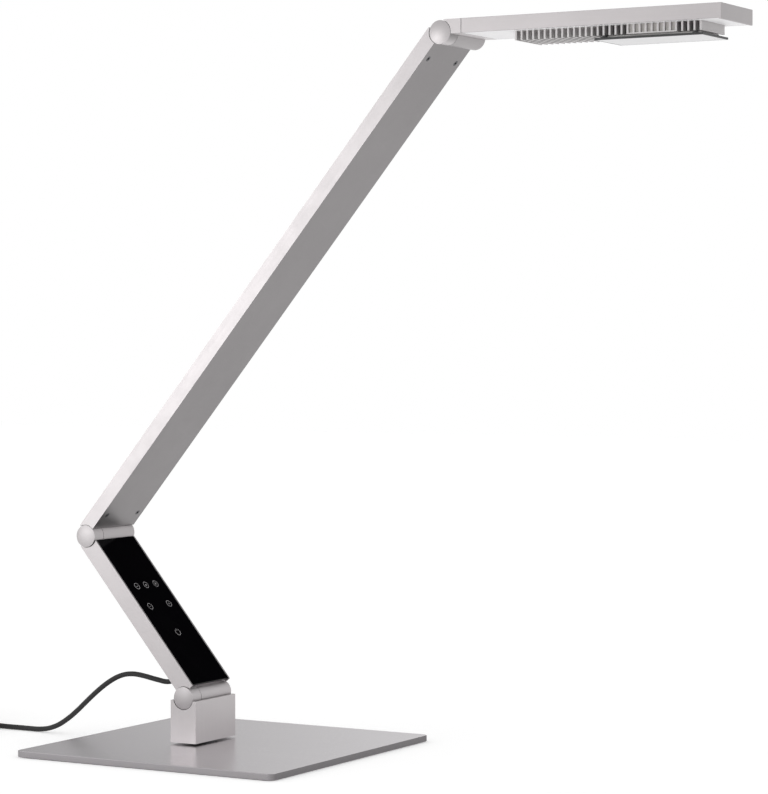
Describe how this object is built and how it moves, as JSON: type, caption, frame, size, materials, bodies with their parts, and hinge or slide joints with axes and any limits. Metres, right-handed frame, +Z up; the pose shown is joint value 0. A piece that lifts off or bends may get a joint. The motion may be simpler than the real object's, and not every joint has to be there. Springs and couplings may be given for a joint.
{
  "type": "led table lamp",
  "caption": "Slim LED desk lamp: square base plate, swivel post, touch-panel lower arm, long upper arm and a flat head with a finned light block, on friction hinges.",
  "frame": {"origin": "centre of the underside of the base, on the surface that the lamp stands on", "axes": "+X toward the lamp's head, +Y along the hinge axes, +Z up"},
  "size_m": [0.8187, 0.24, 0.5709],
  "materials": {
    "steel_plate": "brushed",
    "pad": "matte",
    "alu": "satin anodised",
    "alu_hinge": "satin",
    "alu_sink": "satin",
    "steel": "machined",
    "glide": "matte",
    "panel_glass": "gloss",
    "pcb": "satin",
    "white_pcb": "satin",
    "led": "gloss",
    "white_plastic": "matte",
    "diffuser": "matte",
    "dark_trim": "satin",
    "wire": "matte",
    "cord": "matte",
    "plug": "matte",
    "plug_metal": "polished"
  },
  "bodies": {
    "base": {"base_plate": "steel_plate", "base_pad": "pad", "swivel_spindle": "steel", "swivel_glide": "glide", "swivel_spring": "steel", "swivel_nut": "steel"},
    "post": {"post_block": "alu", "post_screws": "steel", "low_sleeve": "alu_hinge", "low_cap": "alu_hinge", "cord_lead": "cord", "cord_coil": "cord", "cord_tie": "cord", "plug_relief": "cord", "plug_body": "plug", "plug_pins": "plug_metal"},
    "lower_arm": {"low_knuckle": "alu_hinge", "low_pin": "steel", "low_washer": "glide", "low_spring": "steel", "low_nut": "steel", "arm_shell": "alu", "control_glass": "panel_glass", "touch_board": "pcb", "driver_board": "pcb", "cord_relief": "cord", "arm_screws": "steel", "elbow_knuckle": "alu_hinge", "elbow_pin": "steel", "elbow_washer": "glide", "elbow_spring": "steel", "elbow_nut": "steel"},
    "upper_arm": {"upper_tube": "alu", "elbow_sleeve": "alu_hinge", "elbow_cap": "alu_hinge", "head_sleeve": "alu_hinge", "head_cap": "alu_hinge", "tube_screws": "steel", "arm_wire": "wire"},
    "head": {"head_neck": "alu", "head_pin": "steel", "head_washer": "glide", "head_spring": "steel", "head_nut": "steel", "neck_screws": "steel", "head_housing": "alu", "underside_cover": "white_plastic", "heat_sink": "alu_sink", "led_module": "white_plastic", "led_board": "white_pcb", "leds": "led", "light_plate": "diffuser", "light_frame": "dark_trim"}
  },
  "joints": [
    {"name": "base_swivel", "type": "hinge", "parent": "base", "child": "post", "pos_m": [-0.022, 0, 0.0071], "axis": [0, 0, 1], "range_deg": [-45, 45]},
    {"name": "lower_hinge", "type": "hinge", "parent": "post", "child": "lower_arm", "pos_m": [-0.022, 0, 0.043], "axis": [0, 1, 0], "range_deg": [-30, 30], "deforming": ["cord_lead"]},
    {"name": "middle_hinge", "type": "hinge", "parent": "lower_arm", "child": "upper_arm", "pos_m": [-0.11743, 0, 0.16918], "axis": [0, 1, 0], "range_deg": [-80, 25]},
    {"name": "head_hinge", "type": "hinge", "parent": "upper_arm", "child": "head", "pos_m": [0.21168, 0, 0.56139], "axis": [0, 1, 0], "range_deg": [-50, 90]}
  ]
}
